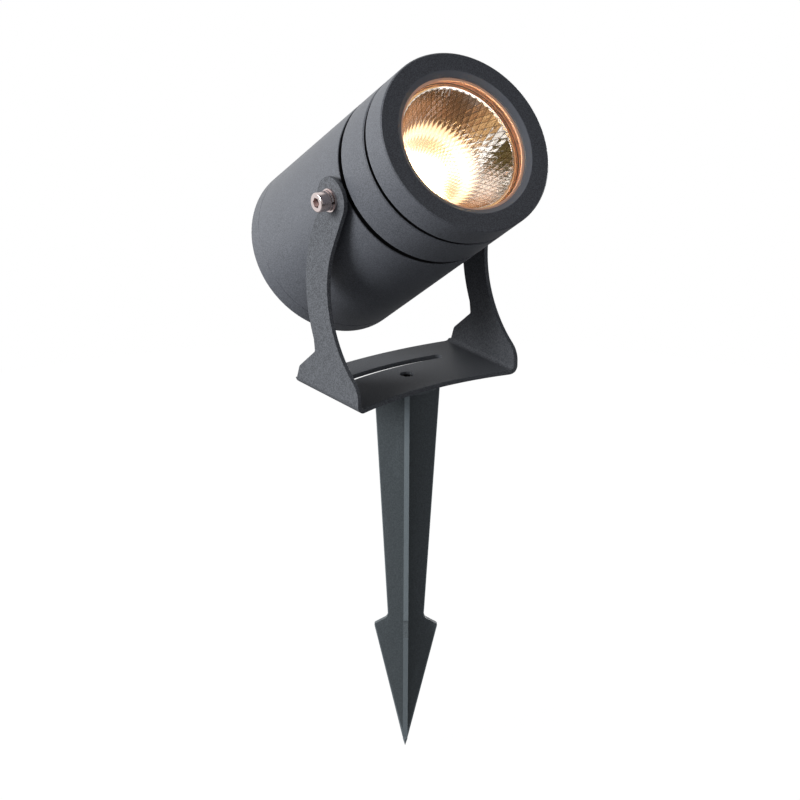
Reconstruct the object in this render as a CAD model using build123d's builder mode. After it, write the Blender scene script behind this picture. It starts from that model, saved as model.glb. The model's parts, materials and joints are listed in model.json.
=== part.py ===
from build123d import *
import math
import os

# Garden spike spotlight: a cylindrical lamp head hangs between the ears of a bent sheet yoke, and the yoke
# stands on a four-finned ground spike. Millimetres and degrees.
# +Z is up, the lamp faces -Y and X runs from ear to ear. The origin lies on the spike's axis, at the
# underside of the yoke's base.

# ------------------------------------------------------------------ head, outside
head_diameter = 80.0
front_reach = 44.5  # pivot axis to the front face
rear_reach = 77.1  # pivot axis to the rear face
head_tilt = 36.3  # head axis above the horizontal
bezel_length = 13.5
bezel_groove_width = 2.0
collar_length = 19.5
collar_groove_width = 2.9
groove_depth = 4.0
cap_length = 8.1
edge_break = 0.5

# ------------------------------------------------------------------ head, walls and joints
housing_wall = 5.0
spigot_wall = 5.0
joint_gap = 0.05  # between a spigot and the bore over it
thread_gap = 0.03  # between a screw and its tapped hole
housing_spigot_length = 11.5
collar_step_gap = 1.0
partition_behind_pivot = 9.0
o_ring_section = 1.6
o_ring_groove_width = 2.0
o_ring_setback = 3.0  # spigot end to the near side of the groove

# ------------------------------------------------------------------ glass and mouth
mouth_diameter = 63.6
mouth_chamfer_width = 2.15
mouth_chamfer_depth = 1.65
lip_land = 1.0
glass_diameter = 66.0
glass_thickness = 4.0
glass_edge_bevel = 0.4
glass_side_gap = 0.3
front_gasket_thickness = 1.0
front_gasket_reveal = 1.1  # how far the gasket shows inside the lip
rear_gasket_thickness = 0.8

# ------------------------------------------------------------------ reflector
reflector_mouth_diameter = 54.2
facet_columns = 54
facet_rows = 16
reflector_wall = 1.0
reflector_rim_width = 1.9
reflector_rim_height = 1.6
reflector_rim_lip = 0.8  # rim standing ahead of the facets
reflector_rim_round = 0.7
reflector_to_glass = 0.6
reflector_neck_rise = 0.4  # neck into the bowl above the holder
reflector_side_gap = 0.2

# ------------------------------------------------------------------ light source
led_floor = 1.8  # partition's front face, ahead of the pivot
pad_thickness = 0.3
board_side = 28.0
board_thickness = 1.4
emitter_diameter = 18.0
emitter_thickness = 0.5
holder_thickness = 4.0
holder_seat_depth = 0.8
holder_pocket_gap = 0.15
holder_screw_gap = 2.0  # board's edge to a screw's shank
holder_screw_edge = 3.5  # a screw's middle to the holder's rim
holder_screw_length = 8.0
holder_tap_depth = 5.0
wire_exit_length = 10.0
wire_direction = 30.0  # about the head axis

# ------------------------------------------------------------------ driver
tray_diameter = 45.0
tray_floor = 2.5
tray_rim_wall = 1.5
tray_rim_height = 5.5
post_diameter = 6.0
post_height = 4.5
driver_board_diameter = 40.0
driver_board_thickness = 1.6
driver_screw_spread = 33.0
driver_screw_length = 12.0
inductor_diameter = 12.0
inductor_height = 10.0
inductor_winding_depth = 1.2
inductor_place = (-9.0, 5.0)
capacitor_diameter = 10.0
capacitor_height = 16.0
capacitor_edge_round = 0.6
capacitor_place = (9.0, 5.0)
rectifier_size = (8.5, 6.5, 2.6)
rectifier_place = (-9.0, -8.5)
terminal_size = (10.2, 8.0, 9.5)
terminal_hole_diameter = 3.2
terminal_place = (8.0, -8.5)
wire_passage_diameter = 5.0
wire_passage_radius = 25.5
lead_diameter = 1.2
lead_spread = 1.9
lead_bend = 1.5
lead_board_gap = 0.89564  # board's edge to the middle of a lead's end
lead_end_radius = 18.3

# ------------------------------------------------------------------ rear cap and cable gland
cap_spigot_length = 7.0
cap_ring_bore = 49.0
cap_plate = 5.0
cap_screw_count = 3
cap_screw_circle = 58.0
cap_screw_length = 25.0
boss_diameter = 8.8
boss_web = 6.0
boss_end_gap = 0.5
gland_thread = 12.0
gland_bore = 7.4
gland_flats = 15.0
gland_hex_length = 4.5
gland_barrel_length = 5.5
gland_washer_thickness = 1.0
gland_washer_diameter = 17.0
gland_locknut_thickness = 3.0
gland_nut_gap = 0.4
gland_nut_hex_length = 7.5
gland_nut_dome_length = 3.4
gland_bush_bore = 6.6
gland_bush_wall = 1.55
gland_bush_length = 6.0
gland_bush_seat = 4.0

# ------------------------------------------------------------------ small screws: (shank, head, head height)
m3_shank, m3_head, m3_head_height = 3.0, 5.5, 2.0
m3_socket_flats, m3_socket_depth = 2.0, 1.2
m4_shank, m4_head = 4.0, 8.0
m4_socket_flats, m4_socket_depth = 2.5, 1.4
clearance_hole_gap = 0.2

# ------------------------------------------------------------------ pivots
pivot_screw_diameter = 5.0
pivot_screw_head = 8.5
pivot_screw_head_height = 5.0
pivot_screw_head_round = 0.6
pivot_screw_length = 12.0
pivot_socket_flats = 4.0
pivot_socket_depth = 2.6
pivot_washer_diameter = 10.0
pivot_washer_thickness = 1.0
spring_washer_diameter = 9.0
spring_washer_thickness = 1.2
spring_washer_split = 1.0
friction_washer_diameter = 14.0
turning_gap = 0.05  # running clearance of both pivots

# ------------------------------------------------------------------ yoke
sheet = 2.0
sheet_edge_round = 0.2
bend_radius = 2.0  # inside of the bends
side_gap = 1.3  # head to ear
swing_gap = 1.6  # rear corner of the head to the base as it swings
pivot_forward = 4.1  # pivot axis ahead of the spike axis
ear_radius = 9.8
arm_inner_radius = 46.1
arm_width = 15.8
arm_front = -1.1  # rearmost point of the arm's hollow front edge
arm_drop = 40.0  # pivot down to that point
base_depth = 47.2
base_front_dip = 6.3
base_rear_bulge = 4.4
foot_step_height = 9.3
foot_step_setback = 3.2
notch_height = 19.5
notch_reach = 8.4
arm_end_rise = 5.3
foot_round = 9.0
notch_round = 1.5
corner_round = 2.5
slot_width = 4.5
slot_half_span = 24.0
slot_behind_spike = 12.2
slot_sag = 2.1

# ------------------------------------------------------------------ ground spike
spike_length = 183.0
spike_top_width = 29.2
spike_neck_width = 16.2
fin_thickness = 2.2
barb_height = 67.0  # tip up to the neck above the barbs
barb_width = 28.8
barb_slope = 3.6
barb_neck_round = 2.5
barb_tip_round = 1.0
tip_cone_slope = 0.3  # radius gained per height above the tip
spike_turn = -36.4  # fins turned about the vertical against the yoke
flange_diameter = 27.0
flange_thickness = 3.0
hub_diameter = 10.0
hub_depth = 6.5
stud_diameter = 6.0
stud_engagement = 6.0
stud_below_top = 1.0
stud_socket_flats = 3.0
stud_socket_depth = 2.5

# ------------------------------------------------------------------ places that follow from the sizes
head_radius = head_diameter / 2
yoke_half = head_radius + side_gap + sheet
pivot_height = sheet + swing_gap + math.hypot(rear_reach, head_radius)
pivot = Vector(0, -pivot_forward, pivot_height)
tilt = math.radians(head_tilt)
# Cross sections of the head look forward along its axis, with X kept from ear to ear.
head_plane = Plane(origin=pivot, x_dir=(1, 0, 0), z_dir=(0, -math.cos(tilt), math.sin(tilt)))
# The same, looking backward, for what is fitted from the rear.
rear_plane = Plane(origin=pivot, x_dir=(-1, 0, 0), z_dir=-head_plane.z_dir)
# Profiles of turned pieces: radius along X, distance ahead of the pivot along Y.
section_plane = Plane(origin=pivot, x_dir=(1, 0, 0), z_dir=-head_plane.y_dir)
head_line = Axis(pivot, head_plane.z_dir)
# The two ends of the pivot axis, each looking outward.
side_planes = [
    Plane(origin=pivot, x_dir=(0, -1, 0), z_dir=(-1, 0, 0)),
    Plane(origin=pivot, x_dir=(0, 1, 0), z_dir=(1, 0, 0)),
]

# Along the head, ahead of the pivot
bezel_rear = front_reach - bezel_length
collar_front = bezel_rear - bezel_groove_width
collar_rear = collar_front - collar_length
housing_front = collar_rear - collar_groove_width
housing_spigot_front = collar_rear + housing_spigot_length
cap_seam = -(rear_reach - cap_length)
partition_rear = -partition_behind_pivot
lip_back = front_reach - mouth_chamfer_depth - lip_land
glass_front_face = lip_back - front_gasket_thickness
glass_back_face = glass_front_face - glass_thickness
collar_end = glass_back_face - rear_gasket_thickness
rim_front = glass_back_face - reflector_to_glass
rim_ledge = rim_front - reflector_rim_height
facet_front = rim_front - reflector_rim_lip
holder_front = led_floor + holder_thickness
reflector_base = holder_front - holder_seat_depth

# Across the head: the holder's screws stand beside the board, and the leads start beside its edge
holder_screw_spread = board_side + 2 * holder_screw_gap + m3_shank
holder_diameter = holder_screw_spread + 2 * holder_screw_edge
lead_start_radius = (board_side / 2 + lead_board_gap) / math.cos(math.radians(wire_direction))

# Radii
bore_radius = head_radius - housing_wall
spigot_radius = bore_radius - joint_gap
neck_radius = head_radius - groove_depth
led_bore_radius = bore_radius - spigot_wall
groove_floor_radius = spigot_radius - o_ring_section
lip_radius = mouth_diameter / 2 - mouth_chamfer_width
glass_radius = glass_diameter / 2
pocket_radius = glass_radius + glass_side_gap
reflector_mouth_radius = reflector_mouth_diameter / 2
rim_radius = reflector_mouth_radius + reflector_rim_width
# Flat diamonds: each row of facet corners is this much narrower than the row ahead of it.
row_ratio = (1 - math.sin(math.pi / facet_columns)) / math.cos(math.pi / facet_columns)
throat_radius = reflector_mouth_radius * row_ratio**facet_rows
# The bowl is a paraboloid: radius squared over this is the distance ahead of its apex.
parabola = (reflector_mouth_radius**2 - throat_radius**2) / (facet_front - reflector_base)
apex = facet_front - reflector_mouth_radius**2 / parabola
# The neck is as wide as the bowl is where it leaves the holder.
neck_outer_radius = math.sqrt(parabola * (holder_front - apex)) + reflector_wall


def turned(*corners):
    """Closed profile from (radius, distance ahead of the pivot) corners, to be revolved about the head."""
    with BuildSketch(section_plane) as profile:
        with BuildLine():
            Polyline(*corners, close=True)
        make_face()
    return profile.sketch


def o_ring_groove(radius, near, direction):
    """Corners of an O-ring groove in a spigot, from its near side on, walking in the given direction."""
    far = near + direction * o_ring_groove_width
    return [(radius, near), (radius - o_ring_section, near), (radius - o_ring_section, far), (radius, far)]


def o_ring_profile(near, direction):
    """Round section that fills the groove's depth, halfway along it."""
    with BuildSketch(section_plane) as profile:
        middle = near + direction * o_ring_groove_width / 2
        with Locations((groove_floor_radius + o_ring_section / 2, middle)):
            Circle(o_ring_section / 2)
    return profile.sketch


def rims_at(part, radius):
    """Circular edges of a turned piece that have the given radius."""
    circles = part.edges().filter_by(GeomType.CIRCLE)
    return circles.filter_by(lambda edge: abs(edge.radius - radius) < 0.001)


# ================================================================== head: turned rings and housing
collar_groove_near = collar_end - o_ring_setback
housing_groove_near = housing_spigot_front - o_ring_setback
cap_spigot_end = cap_seam + cap_spigot_length
cap_groove_near = cap_spigot_end - o_ring_setback

with BuildPart() as front_bezel:
    revolve(
        turned(
            (mouth_diameter / 2, front_reach),
            (head_radius, front_reach),
            (head_radius, bezel_rear),
            (bore_radius, bezel_rear),
            (bore_radius, collar_end + joint_gap),
            (pocket_radius, collar_end + joint_gap),
            (pocket_radius, lip_back),
            (lip_radius, lip_back),
            (lip_radius, lip_back + lip_land),
        ),
        axis=head_line,
    )
    chamfer(rims_at(front_bezel, head_radius), edge_break)

with BuildPart() as optics_collar:
    revolve(
        turned(
            (rim_radius + reflector_side_gap, collar_end),
            (spigot_radius, collar_end),
            *o_ring_groove(spigot_radius, collar_groove_near, -1),
            (spigot_radius, bezel_rear),
            (neck_radius, bezel_rear),
            (neck_radius, collar_front),
            (head_radius, collar_front),
            (head_radius, collar_rear),
            (bore_radius, collar_rear),
            (bore_radius, housing_spigot_front + collar_step_gap),
            (reflector_mouth_radius + reflector_wall + reflector_side_gap, housing_spigot_front + collar_step_gap),
            (reflector_mouth_radius + reflector_wall + reflector_side_gap, rim_ledge),
            (rim_radius + reflector_side_gap, rim_ledge),
        ),
        axis=head_line,
    )
    chamfer(rims_at(optics_collar, head_radius), edge_break)

boss_end = cap_spigot_end + boss_end_gap
with BuildPart() as main_housing:
    revolve(
        turned(
            (0, led_floor),
            (led_bore_radius, led_floor),
            (led_bore_radius, housing_spigot_front),
            (spigot_radius, housing_spigot_front),
            *o_ring_groove(spigot_radius, housing_groove_near, -1),
            (spigot_radius, collar_rear),
            (neck_radius, collar_rear),
            (neck_radius, housing_front),
            (head_radius, housing_front),
            (head_radius, cap_seam),
            (bore_radius, cap_seam),
            (bore_radius, partition_rear),
            (0, partition_rear),
        ),
        axis=head_line,
    )
    chamfer(rims_at(main_housing, head_radius), edge_break / 2)
    # Ribs on the inside of the tube that take the rear cap's screws
    with BuildSketch(head_plane.offset(boss_end)):
        with PolarLocations(cap_screw_circle / 2, cap_screw_count, start_angle=90):
            Circle(boss_diameter / 2)
            Rectangle(
                bore_radius - cap_screw_circle / 2 + housing_wall / 2,
                boss_web,
                align=(Align.MIN, Align.CENTER),
            )
    extrude(amount=partition_rear - boss_end)
    with BuildSketch(head_plane.offset(boss_end)):
        with PolarLocations(cap_screw_circle / 2, cap_screw_count, start_angle=90):
            Circle(m4_shank / 2 + thread_gap)
    extrude(amount=cap_screw_length + 1 - (rear_reach + boss_end), mode=Mode.SUBTRACT)
    # Tapped holes for the light source in front and for the driver behind, and the wire passage
    with BuildSketch(head_plane.offset(led_floor)):
        with GridLocations(holder_screw_spread, 0, 2, 1):
            Circle(m3_shank / 2 + thread_gap)
    extrude(amount=-holder_tap_depth, mode=Mode.SUBTRACT)
    with BuildSketch(head_plane.offset(partition_rear)):
        with GridLocations(0, driver_screw_spread, 1, 2):
            Circle(m3_shank / 2 + thread_gap)
    extrude(amount=driver_screw_length + 1 - tray_floor - post_height - driver_board_thickness, mode=Mode.SUBTRACT)
    with BuildSketch(head_plane.offset(partition_rear)):
        with PolarLocations(wire_passage_radius, 1, start_angle=wire_direction):
            Circle(wire_passage_diameter / 2)
    extrude(amount=led_floor - partition_rear, mode=Mode.SUBTRACT)
    # Spot faces and tapped blind holes of the pivot
    spot_face = math.sqrt(head_radius**2 - (friction_washer_diameter / 2 + clearance_hole_gap) ** 2)
    screw_tip = yoke_half + turning_gap + pivot_washer_thickness + spring_washer_thickness - pivot_screw_length
    for side in side_planes:
        with BuildSketch(side.offset(spot_face)):
            Circle(friction_washer_diameter / 2 + clearance_hole_gap)
        extrude(amount=head_radius - spot_face + 1, mode=Mode.SUBTRACT)
        with BuildSketch(side.offset(screw_tip - clearance_hole_gap)):
            Circle(pivot_screw_diameter / 2 + thread_gap)
        extrude(amount=pivot_screw_length, mode=Mode.SUBTRACT)

with BuildPart() as rear_cap:
    revolve(
        turned(
            (0, -rear_reach),
            (head_radius, -rear_reach),
            (head_radius, cap_seam),
            (spigot_radius, cap_seam),
            *reversed(o_ring_groove(spigot_radius, cap_groove_near, -1)),
            (spigot_radius, cap_spigot_end),
            (cap_ring_bore / 2, cap_spigot_end),
            (cap_ring_bore / 2, cap_plate - rear_reach),
            (0, cap_plate - rear_reach),
        ),
        axis=head_line,
    )
    fillet(rims_at(rear_cap, head_radius).sort_by(head_line)[0], 2 * edge_break)
    chamfer(rims_at(rear_cap, head_radius).sort_by(head_line)[-1], edge_break / 2)
    with Locations(rear_plane.offset(rear_reach)):
        with PolarLocations(cap_screw_circle / 2, cap_screw_count, start_angle=90):
            CounterSinkHole(m4_shank / 2 + clearance_hole_gap, m4_head / 2 + clearance_hole_gap, depth=30)
    with BuildSketch(head_plane.offset(-rear_reach)):
        Circle(gland_thread / 2 + joint_gap)
    extrude(amount=cap_plate, mode=Mode.SUBTRACT)

# ================================================================== seals and glass
with BuildPart() as bezel_o_ring:
    revolve(o_ring_profile(collar_groove_near, -1), axis=head_line)

with BuildPart() as collar_o_ring:
    revolve(o_ring_profile(housing_groove_near, -1), axis=head_line)

with BuildPart() as rear_cap_o_ring:
    revolve(o_ring_profile(cap_groove_near, -1), axis=head_line)

gasket_radius = pocket_radius - glass_side_gap / 2
with BuildPart() as glass_front_gasket:
    with BuildSketch(head_plane.offset(glass_front_face)):
        Circle(gasket_radius)
        Circle(lip_radius - front_gasket_reveal, mode=Mode.SUBTRACT)
    extrude(amount=front_gasket_thickness)

with BuildPart() as front_glass:
    with BuildSketch(head_plane.offset(glass_back_face)):
        Circle(glass_radius)
    extrude(amount=glass_thickness)
    chamfer(front_glass.edges().filter_by(GeomType.CIRCLE), glass_edge_bevel)

with BuildPart() as glass_rear_gasket:
    with BuildSketch(head_plane.offset(collar_end)):
        Circle(gasket_radius)
        Circle(rim_radius + reflector_side_gap, mode=Mode.SUBTRACT)
    extrude(amount=rear_gasket_thickness)

# ================================================================== faceted reflector
# The corners of the facets lie on the paraboloid in rows. Every second row is turned by half a step, and the
# radii of the rows fall by one constant ratio. With that ratio the four corners of each diamond lie in one
# plane, so the whole bowl is closed by flat diamonds, with half diamonds along the mouth and the throat.
facet_step = 2 * math.pi / facet_columns


def facet_corner(row, column):
    """Corner on the paraboloid. Odd rows are turned by half a step."""
    radius = reflector_mouth_radius * row_ratio**row
    angle = facet_step * (column + 0.5 * (row % 2))
    ahead = apex + radius**2 / parabola
    return head_plane.from_local_coords((radius * math.cos(angle), radius * math.sin(angle), ahead))


def flat_face(*corners):
    """Flat face through corners given in order."""
    return Face(Wire.make_polygon(corners, close=True))


facets = []
for row in range(facet_rows + 1):
    shift = row % 2
    for column in range(facet_columns):
        left = facet_corner(row, column)
        right = facet_corner(row, column + 1)
        ahead = facet_corner(row - 1, column + shift)
        behind = facet_corner(row + 1, column + shift)
        if row == 0:
            facets.append(flat_face(left, right, behind))
        elif row == facet_rows:
            facets.append(flat_face(left, ahead, right))
        else:
            facets.append(flat_face(left, ahead, right, behind))
facets.append(flat_face(*[facet_corner(0, column) for column in range(facet_columns)]))
facets.append(flat_face(*[facet_corner(facet_rows, column) for column in range(facet_columns)]))
facet_hollow = Solid(Shell(facets))

with BuildPart() as faceted_reflector:
    with BuildSketch(section_plane):
        with BuildLine():
            back = Polyline(
                (0, facet_front),
                (0, reflector_base),
                (throat_radius + reflector_wall, reflector_base),
            )
            # Outside of the bowl: the same parabola, one wall thickness further out
            bowl = Bezier(
                back @ 1,
                (
                    (throat_radius + reflector_mouth_radius) / 2 + reflector_wall,
                    apex + throat_radius * reflector_mouth_radius / parabola,
                ),
                (reflector_mouth_radius + reflector_wall, facet_front),
            )
            Polyline(bowl @ 1, (0, facet_front))
        make_face()
    revolve(axis=head_line)
    # Rolled rim with a round front
    with BuildSketch(section_plane) as rim_section:
        with Locations((reflector_mouth_radius, rim_ledge)):
            Rectangle(reflector_rim_width, reflector_rim_height, align=(Align.MIN, Align.MIN))
        fillet(rim_section.vertices().group_by(Axis.Y)[-1], reflector_rim_round)
    revolve(axis=head_line)
    # Straight neck that stands in the holder
    with BuildSketch(head_plane.offset(reflector_base)):
        Circle(neck_outer_radius)
    extrude(amount=holder_seat_depth + reflector_neck_rise)
    add(facet_hollow, mode=Mode.SUBTRACT)

# ================================================================== light source
pad_top = led_floor + pad_thickness
board_top = pad_top + board_thickness

with BuildPart() as thermal_pad:
    with BuildSketch(head_plane.offset(led_floor)):
        Rectangle(board_side, board_side)
    extrude(amount=pad_thickness)

with BuildPart() as led_board:
    with BuildSketch(head_plane.offset(pad_top)):
        Rectangle(board_side, board_side)
    extrude(amount=board_thickness)

with BuildPart() as led_emitter:
    with BuildSketch(head_plane.offset(board_top)):
        Circle(emitter_diameter / 2)
    extrude(amount=emitter_thickness)

with BuildPart() as led_holder:
    with BuildSketch(head_plane.offset(led_floor)):
        Circle(holder_diameter / 2)
        Rectangle(board_side + 2 * holder_pocket_gap, board_side + 2 * holder_pocket_gap, mode=Mode.SUBTRACT)
    extrude(amount=pad_thickness + board_thickness)
    with BuildSketch(head_plane.offset(board_top)):
        Circle(holder_diameter / 2)
    extrude(amount=holder_front - board_top)
    # Cone from the emitter to the reflector's throat, and the seat for the reflector's neck
    revolve(
        turned(
            (0, board_top),
            (emitter_diameter / 2 + 1, board_top),
            (throat_radius, reflector_base),
            (neck_outer_radius + reflector_side_gap / 2, reflector_base),
            (neck_outer_radius + reflector_side_gap / 2, holder_front),
            (0, holder_front),
        ),
        axis=head_line,
        mode=Mode.SUBTRACT,
    )
    with BuildSketch(head_plane.offset(led_floor)):
        with GridLocations(holder_screw_spread, 0, 2, 1):
            Circle(m3_shank / 2 + clearance_hole_gap)
    extrude(amount=holder_thickness, mode=Mode.SUBTRACT)
    # Finger of the wire exit at the rim
    with BuildSketch(head_plane.offset(led_floor)):
        with PolarLocations(holder_diameter / 2, 1, start_angle=wire_direction):
            Rectangle(wire_exit_length, wire_passage_diameter)
    extrude(amount=board_thickness, mode=Mode.SUBTRACT)


def small_screws(plane, spots, length, flats, socket_depth, shank, head, head_height):
    """Socket screws with flat round heads that stand on a plane, their shanks running back from it."""
    with BuildPart() as screws:
        with BuildSketch(plane):
            with spots:
                Circle(shank / 2)
        extrude(amount=-length)
        with BuildSketch(plane):
            with spots:
                Circle(head / 2)
        extrude(amount=head_height)
        with BuildSketch(plane.offset(head_height - socket_depth)):
            with spots:
                RegularPolygon(flats / 2, 6, major_radius=False)
        extrude(amount=socket_depth, mode=Mode.SUBTRACT)
    return screws


led_holder_screws = small_screws(
    head_plane.offset(holder_front),
    GridLocations(holder_screw_spread, 0, 2, 1),
    holder_screw_length,
    m3_socket_flats,
    m3_socket_depth,
    m3_shank,
    m3_head,
    m3_head_height,
)

# ================================================================== driver in the rear chamber
tray_back = partition_behind_pivot + tray_floor
board_back = tray_back + post_height + driver_board_thickness

with BuildPart() as driver_tray:
    with BuildSketch(rear_plane.offset(partition_behind_pivot)):
        Circle(tray_diameter / 2)
    extrude(amount=tray_floor)
    with BuildSketch(rear_plane.offset(tray_back)):
        Circle(tray_diameter / 2)
        Circle(tray_diameter / 2 - tray_rim_wall, mode=Mode.SUBTRACT)
    extrude(amount=tray_rim_height)
    with BuildSketch(rear_plane.offset(tray_back)):
        with GridLocations(0, driver_screw_spread, 1, 2):
            Circle(post_diameter / 2)
    extrude(amount=post_height)
    with BuildSketch(rear_plane.offset(partition_behind_pivot)):
        with GridLocations(0, driver_screw_spread, 1, 2):
            Circle(m3_shank / 2 + clearance_hole_gap)
    extrude(amount=tray_floor + post_height, mode=Mode.SUBTRACT)

with BuildPart() as driver_board:
    with BuildSketch(rear_plane.offset(tray_back + post_height)):
        Circle(driver_board_diameter / 2)
        with GridLocations(0, driver_screw_spread, 1, 2):
            Circle(m3_shank / 2 + clearance_hole_gap, mode=Mode.SUBTRACT)
    extrude(amount=driver_board_thickness)

# Two leads from the light source's wire exit through the passage to the back of the driver board
lead_height = led_floor + lead_diameter / 2 + joint_gap
lead_turn_back = -board_back - 4
with BuildPart() as led_leads:
    for sign in (-1, 1):
        direction = math.radians(wire_direction) + sign * lead_spread / 2 / wire_passage_radius
        route = [
            (lead_start_radius, lead_height),
            (wire_passage_radius, lead_height),
            (wire_passage_radius, lead_turn_back),
            (lead_end_radius, lead_turn_back),
            (lead_end_radius, -board_back),
        ]
        corners = [
            head_plane.from_local_coords((radius * math.cos(direction), radius * math.sin(direction), ahead))
            for radius, ahead in route
        ]
        with BuildLine() as lead_line:
            FilletPolyline(*corners, radius=lead_bend)
        with BuildSketch(Plane(origin=lead_line.line @ 0, z_dir=lead_line.line % 0)):
            Circle(lead_diameter / 2)
        sweep(path=lead_line.line)

driver_screws = small_screws(
    rear_plane.offset(board_back),
    GridLocations(0, driver_screw_spread, 1, 2),
    driver_screw_length,
    m3_socket_flats,
    m3_socket_depth,
    m3_shank,
    m3_head,
    m3_head_height,
)

with BuildPart() as driver_inductor:
    with BuildSketch(rear_plane.offset(board_back)):
        with Locations(inductor_place):
            Circle(inductor_diameter / 2)
    extrude(amount=inductor_height)
    # Waist of the drum where the wire is wound
    with BuildSketch(rear_plane.offset(board_back + 0.15 * inductor_height)):
        with Locations(inductor_place):
            Circle(inductor_diameter / 2)
            Circle(inductor_diameter / 2 - inductor_winding_depth, mode=Mode.SUBTRACT)
    extrude(amount=0.7 * inductor_height, mode=Mode.SUBTRACT)

with BuildPart() as filter_capacitor:
    with BuildSketch(rear_plane.offset(board_back)):
        with Locations(capacitor_place):
            Circle(capacitor_diameter / 2)
    extrude(amount=capacitor_height)
    fillet(filter_capacitor.edges().filter_by(GeomType.CIRCLE).sort_by(head_line)[0], capacitor_edge_round)

with BuildPart() as bridge_rectifier:
    with BuildSketch(rear_plane.offset(board_back)):
        with Locations(rectifier_place):
            Rectangle(rectifier_size[0], rectifier_size[1])
    extrude(amount=rectifier_size[2])

with BuildPart() as terminal_block:
    with BuildSketch(rear_plane.offset(board_back)):
        with Locations(terminal_place):
            Rectangle(terminal_size[0], terminal_size[1])
    extrude(amount=terminal_size[2])
    with BuildSketch(rear_plane.offset(board_back + terminal_size[2])):
        with Locations(terminal_place):
            with GridLocations(terminal_size[0] / 2, 0, 2, 1):
                Circle(terminal_hole_diameter / 2)
    extrude(amount=-0.7 * terminal_size[2], mode=Mode.SUBTRACT)

# ================================================================== rear cap screws and cable gland
with BuildPart() as rear_cap_screws:
    with BuildSketch(rear_plane.offset(rear_reach - cap_screw_length)):
        with PolarLocations(cap_screw_circle / 2, cap_screw_count, start_angle=90):
            Circle(m4_shank / 2)
    extrude(amount=cap_screw_length - (m4_head - m4_shank) / 2)
    with Locations(rear_plane.offset(rear_reach)):
        with PolarLocations(cap_screw_circle / 2, cap_screw_count, start_angle=90):
            Cone(
                m4_shank / 2,
                m4_head / 2,
                (m4_head - m4_shank) / 2,
                align=(Align.CENTER, Align.CENTER, Align.MAX),
            )
    with BuildSketch(rear_plane.offset(rear_reach)):
        with PolarLocations(cap_screw_circle / 2, cap_screw_count, start_angle=90):
            RegularPolygon(m4_socket_flats / 2, 6, major_radius=False)
    extrude(amount=-m4_socket_depth, mode=Mode.SUBTRACT)

gland_face = rear_reach + gland_washer_thickness
gland_barrel_start = gland_face + gland_hex_length
gland_barrel_end = gland_barrel_start + gland_barrel_length
bush_start = gland_barrel_end - gland_bush_seat
bush_end = bush_start + gland_bush_length
bush_radius = gland_bush_bore / 2 + gland_bush_wall
locknut_back = rear_reach - cap_plate
gland_tail = locknut_back - gland_locknut_thickness - 0.5
nut_start = gland_barrel_start + gland_nut_gap

with BuildPart() as gland_sealing_washer:
    with BuildSketch(rear_plane.offset(rear_reach)):
        Circle(gland_washer_diameter / 2)
        Circle(gland_thread / 2 + joint_gap, mode=Mode.SUBTRACT)
    extrude(amount=gland_washer_thickness)

with BuildPart() as gland_body:
    with BuildSketch(rear_plane.offset(gland_tail)):
        Circle(gland_thread / 2)
    extrude(amount=gland_barrel_end - gland_tail)
    with BuildSketch(rear_plane.offset(gland_face)):
        RegularPolygon(gland_flats / 2, 6, major_radius=False)
    extrude(amount=gland_hex_length)
    with BuildSketch(rear_plane.offset(gland_tail)):
        Circle(gland_bore / 2)
    extrude(amount=gland_barrel_end - gland_tail, mode=Mode.SUBTRACT)
    with BuildSketch(rear_plane.offset(bush_start)):
        Circle(bush_radius + joint_gap)
    extrude(amount=gland_bush_seat, mode=Mode.SUBTRACT)

with BuildPart() as gland_locknut:
    with BuildSketch(rear_plane.offset(locknut_back - gland_locknut_thickness)):
        RegularPolygon(gland_flats / 2, 6, major_radius=False)
        Circle(gland_thread / 2 + thread_gap, mode=Mode.SUBTRACT)
    extrude(amount=gland_locknut_thickness)

with BuildPart() as gland_bush:
    with BuildSketch(rear_plane.offset(bush_start)):
        Circle(bush_radius)
        Circle(gland_bush_bore / 2, mode=Mode.SUBTRACT)
    extrude(amount=gland_bush_length)

with BuildPart() as gland_nut:
    with BuildSketch(rear_plane.offset(nut_start)):
        RegularPolygon(gland_flats / 2, 6, major_radius=False)
    extrude(amount=gland_nut_hex_length)
    with Locations(rear_plane.offset(nut_start + gland_nut_hex_length)):
        Cone(
            gland_flats / 2 - 0.4,
            gland_flats / 2 - 2.2,
            gland_nut_dome_length,
            align=(Align.CENTER, Align.CENTER, Align.MIN),
        )
    with BuildSketch(rear_plane.offset(nut_start)):
        Circle(gland_thread / 2 + thread_gap)
    extrude(amount=gland_barrel_end - nut_start + 0.3, mode=Mode.SUBTRACT)
    with BuildSketch(rear_plane.offset(nut_start)):
        Circle(bush_radius + joint_gap)
    extrude(amount=bush_end - nut_start, mode=Mode.SUBTRACT)
    with BuildSketch(rear_plane.offset(nut_start)):
        Circle(gland_bore / 2)
    extrude(amount=gland_nut_hex_length + gland_nut_dome_length, mode=Mode.SUBTRACT)

# ================================================================== pivot fasteners
ear_outside = yoke_half + turning_gap
ear_inside = yoke_half - sheet - turning_gap

with BuildPart() as friction_washers:
    for side in side_planes:
        with BuildSketch(side.offset(spot_face)):
            Circle(friction_washer_diameter / 2)
            Circle(pivot_screw_diameter / 2 + turning_gap, mode=Mode.SUBTRACT)
        extrude(amount=ear_inside - spot_face)

with BuildPart() as pivot_washers:
    for side in side_planes:
        with BuildSketch(side.offset(ear_outside)):
            Circle(pivot_washer_diameter / 2)
            Circle(pivot_screw_diameter / 2 + turning_gap, mode=Mode.SUBTRACT)
        extrude(amount=pivot_washer_thickness)

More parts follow.
